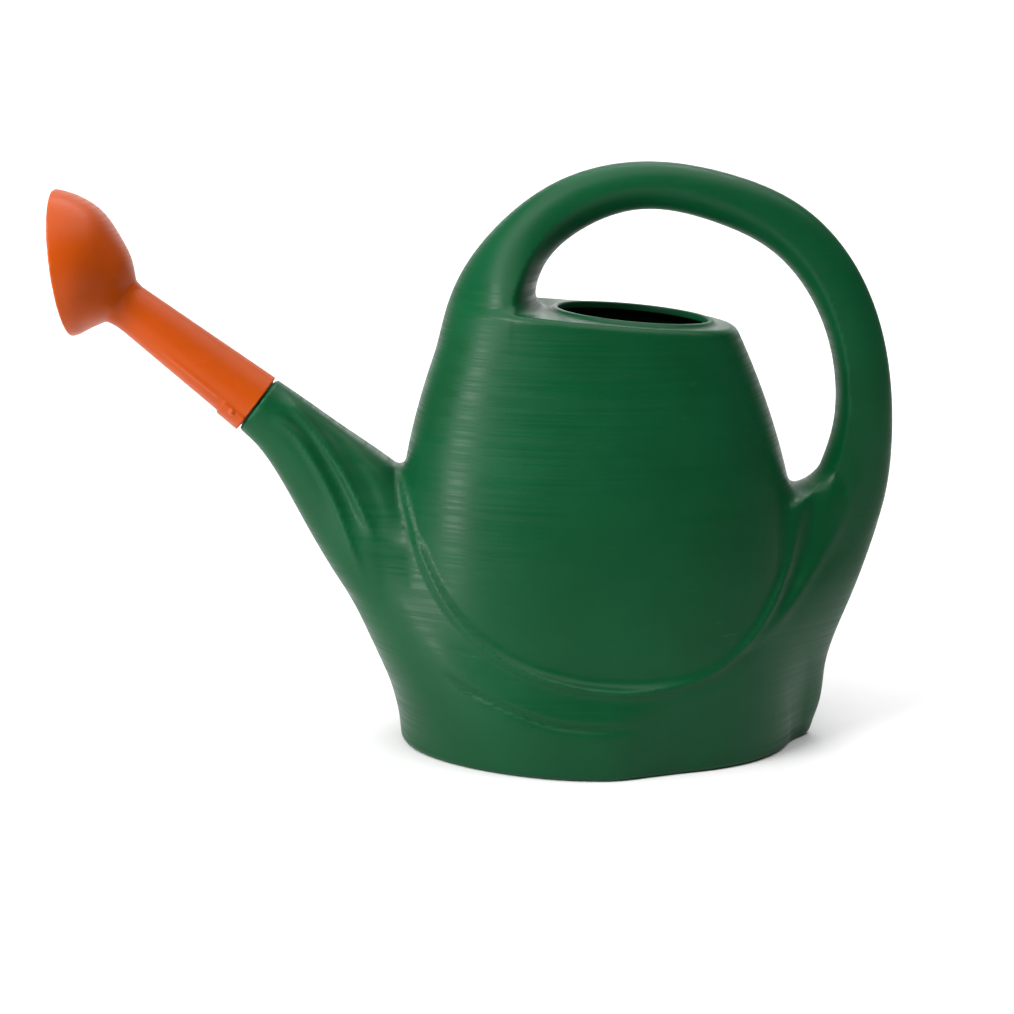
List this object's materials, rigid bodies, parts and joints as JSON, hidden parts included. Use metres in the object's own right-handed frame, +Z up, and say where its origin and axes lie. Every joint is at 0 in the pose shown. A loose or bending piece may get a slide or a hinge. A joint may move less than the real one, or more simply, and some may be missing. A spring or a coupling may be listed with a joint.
{
  "type": "watering can",
  "caption": "Hollow moulded plastic watering can with a hoop handle, an open filling mouth and a pull-off sprinkler rose on its spout.",
  "frame": {"origin": "centre of the base, on the surface that the can stands on", "axes": "+Z up, -X towards the spout and its rose, +X towards the rear of the handle, Y across the can, which is the same on both sides"},
  "size_m": [0.5713, 0.2148, 0.4001],
  "materials": {
    "green_plastic": "blow-moulded polyethylene, satin, with faint horizontal flow lines",
    "orange_plastic": "injection-moulded polyethylene, satin"
  },
  "bodies": {
    "can": {"tank": "green_plastic", "spout": "green_plastic", "handle": "green_plastic"},
    "rose": {"rose_body": "orange_plastic"},
    "plate": {"rose_plate": "orange_plastic"}
  },
  "joints": [
    {"name": "rose_pull", "type": "slide", "parent": "can", "child": "rose", "axis": [-0.788, 0, 0.6157], "range_m": [0, 0.06]},
    {"name": "plate_pull", "type": "slide", "parent": "rose", "child": "plate", "axis": [-0.9952, 0, -0.0976], "range_m": [0, 0.03]}
  ]
}
